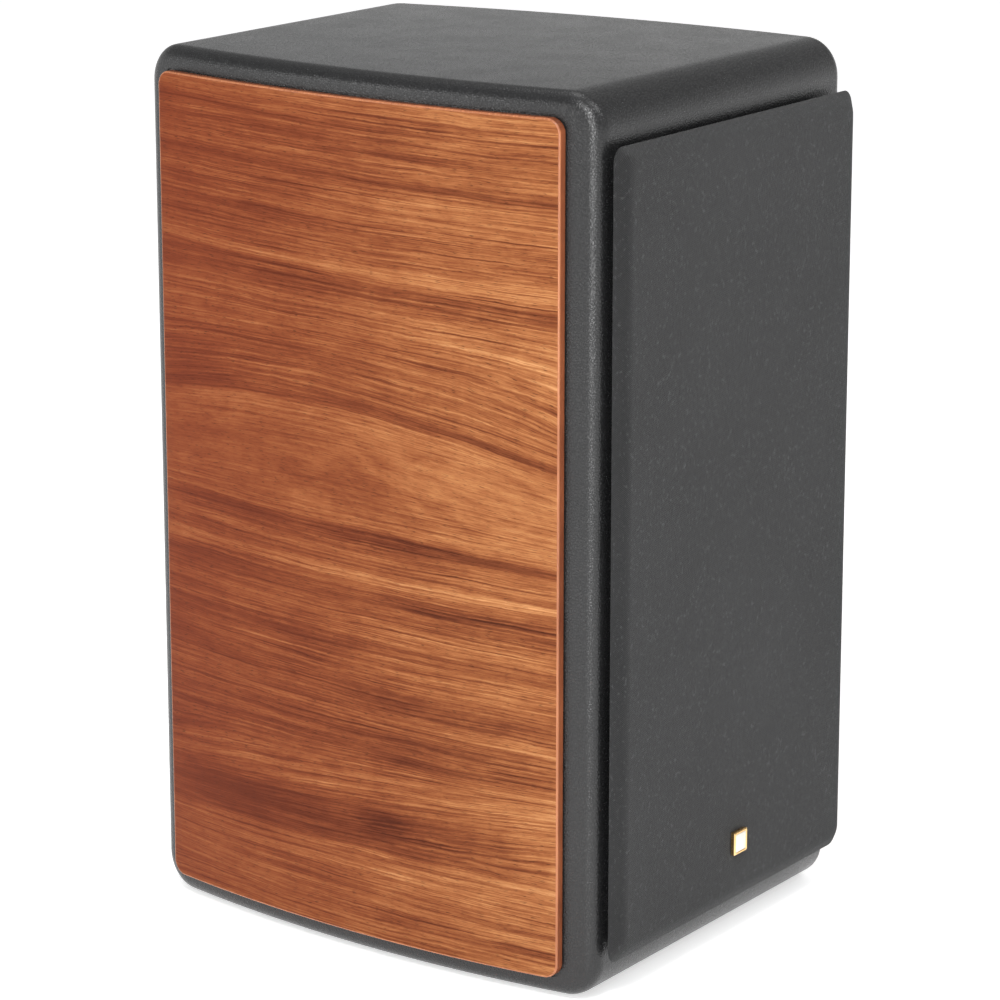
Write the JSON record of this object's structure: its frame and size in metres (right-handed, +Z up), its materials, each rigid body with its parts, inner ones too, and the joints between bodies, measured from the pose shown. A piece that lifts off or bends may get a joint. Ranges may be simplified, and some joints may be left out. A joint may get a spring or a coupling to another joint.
{
  "type": "bookshelf speaker",
  "caption": "Two-way reflex bookshelf speaker: leatherette-wrapped cabinet with bowed, rear-tapering sides, curved walnut side panels and a bevelled cloth grille.",
  "frame": {"origin": "on the resting surface, under the middle of the bounding box", "axes": "+Z up, the grille faces -Y, +X is on the right of someone looking at the grille"},
  "size_m": [0.298, 0.3612, 0.5425],
  "materials": {
    "leatherette": "fine pebbled black vinyl, semi-matt",
    "walnut": "satin lacquered walnut veneer",
    "board": "raw fibreboard",
    "felt": "loose polyester felt",
    "grille_cloth": "charcoal acoustic cloth, matt weave",
    "black_plastic": "fine moulded black",
    "rubber": "matt black",
    "gold_plate": "polished gold plate",
    "cast_aluminium": "black coated casting",
    "zinc_steel": "zinc plated",
    "ferrite": "ground ferrite",
    "cone_paper": "pressed black pulp",
    "spider_cloth": "impregnated cotton",
    "titanium": "bright foil",
    "copper_wire": "enamelled copper wire",
    "circuit_board": "solder mask",
    "capacitor_film": "wrapped film",
    "black_screw": "black zinc"
  },
  "bodies": {
    "cabinet": {"bass_capacitor": "capacitor_film", "bass_inductor": "copper_wire", "bottom_board": "board", "crossover_board": "circuit_board", "damping_pad": "felt", "foot_front_left": "rubber", "foot_front_right": "rubber", "foot_rear_left": "rubber", "foot_rear_right": "rubber", "front_baffle": "board", "horn_driver_plate": "zinc_steel", "horn_flare": "black_plastic", "horn_magnet": "ferrite", "horn_rear_cap": "black_plastic", "horn_screw_1": "black_screw", "horn_screw_2": "black_screw", "horn_screw_3": "black_screw", "horn_screw_4": "black_screw", "leatherette_wrap": "leatherette", "left_side_board": "board", "left_walnut_panel": "walnut", "negative_post": "gold_plate", "positive_post": "gold_plate", "rear_board": "board", "reflex_port": "black_plastic", "right_side_board": "board", "right_walnut_panel": "walnut", "terminal_cup": "black_plastic", "top_board": "board", "treble_capacitor": "capacitor_film", "treble_inductor": "copper_wire", "window_brace": "board", "woofer_basket": "cast_aluminium", "woofer_magnet": "ferrite", "woofer_screw_1": "black_screw", "woofer_screw_2": "black_screw", "woofer_screw_3": "black_screw", "woofer_screw_4": "black_screw", "woofer_screw_5": "black_screw", "woofer_screw_6": "black_screw", "woofer_spider": "spider_cloth", "woofer_surround": "rubber", "woofer_top_plate": "zinc_steel", "woofer_yoke": "zinc_steel"},
    "grille": {"grille_frame": "black_plastic", "grille_cloth": "grille_cloth", "grille_badge": "gold_plate", "grille_peg_1": "rubber", "grille_peg_2": "rubber", "grille_peg_3": "rubber", "grille_peg_4": "rubber"},
    "woofer_moving": {"woofer_cone": "cone_paper", "woofer_dust_cap": "black_plastic", "woofer_voice_coil": "copper_wire"},
    "horn_moving": {"horn_diaphragm": "titanium"},
    "positive_washer": {"positive_washer": "gold_plate"},
    "positive_nut": {"positive_nut": "gold_plate"},
    "negative_washer": {"negative_washer": "gold_plate"},
    "negative_nut": {"negative_nut": "gold_plate"}
  },
  "joints": [
    {"name": "grille_pull_off", "type": "slide", "parent": "cabinet", "child": "grille", "axis": [0, -1, 0], "range_m": [0, 0.1]},
    {"name": "woofer_stroke", "type": "slide", "parent": "cabinet", "child": "woofer_moving", "axis": [0, -1, 0], "range_m": [-0.005, 0.005], "stiffness_N_per_m": 1200, "deforming": ["woofer_surround", "woofer_spider"]},
    {"name": "horn_stroke", "type": "slide", "parent": "cabinet", "child": "horn_moving", "axis": [0, -1, 0], "range_m": [-0.0003, 0.0003], "stiffness_N_per_m": 4000},
    {"name": "positive_nut_travel", "type": "slide", "parent": "cabinet", "child": "positive_washer", "axis": [0, 1, 0], "range_m": [0, 0.005]},
    {"name": "positive_nut_turn", "type": "hinge", "parent": "positive_washer", "child": "positive_nut", "pos_m": [0.019, 0.1773, 0.15], "axis": [0, 1, 0], "range_deg": [0, 1801]},
    {"name": "negative_nut_travel", "type": "slide", "parent": "cabinet", "child": "negative_washer", "axis": [0, 1, 0], "range_m": [0, 0.005]},
    {"name": "negative_nut_turn", "type": "hinge", "parent": "negative_washer", "child": "negative_nut", "pos_m": [-0.019, 0.1773, 0.15], "axis": [0, 1, 0], "range_deg": [0, 1801]}
  ],
  "couplings": [
    {"joint": "positive_nut_turn", "follows": "positive_nut_travel", "rad_per_m": 6283.2},
    {"joint": "negative_nut_turn", "follows": "negative_nut_travel", "rad_per_m": 6283.2}
  ]
}
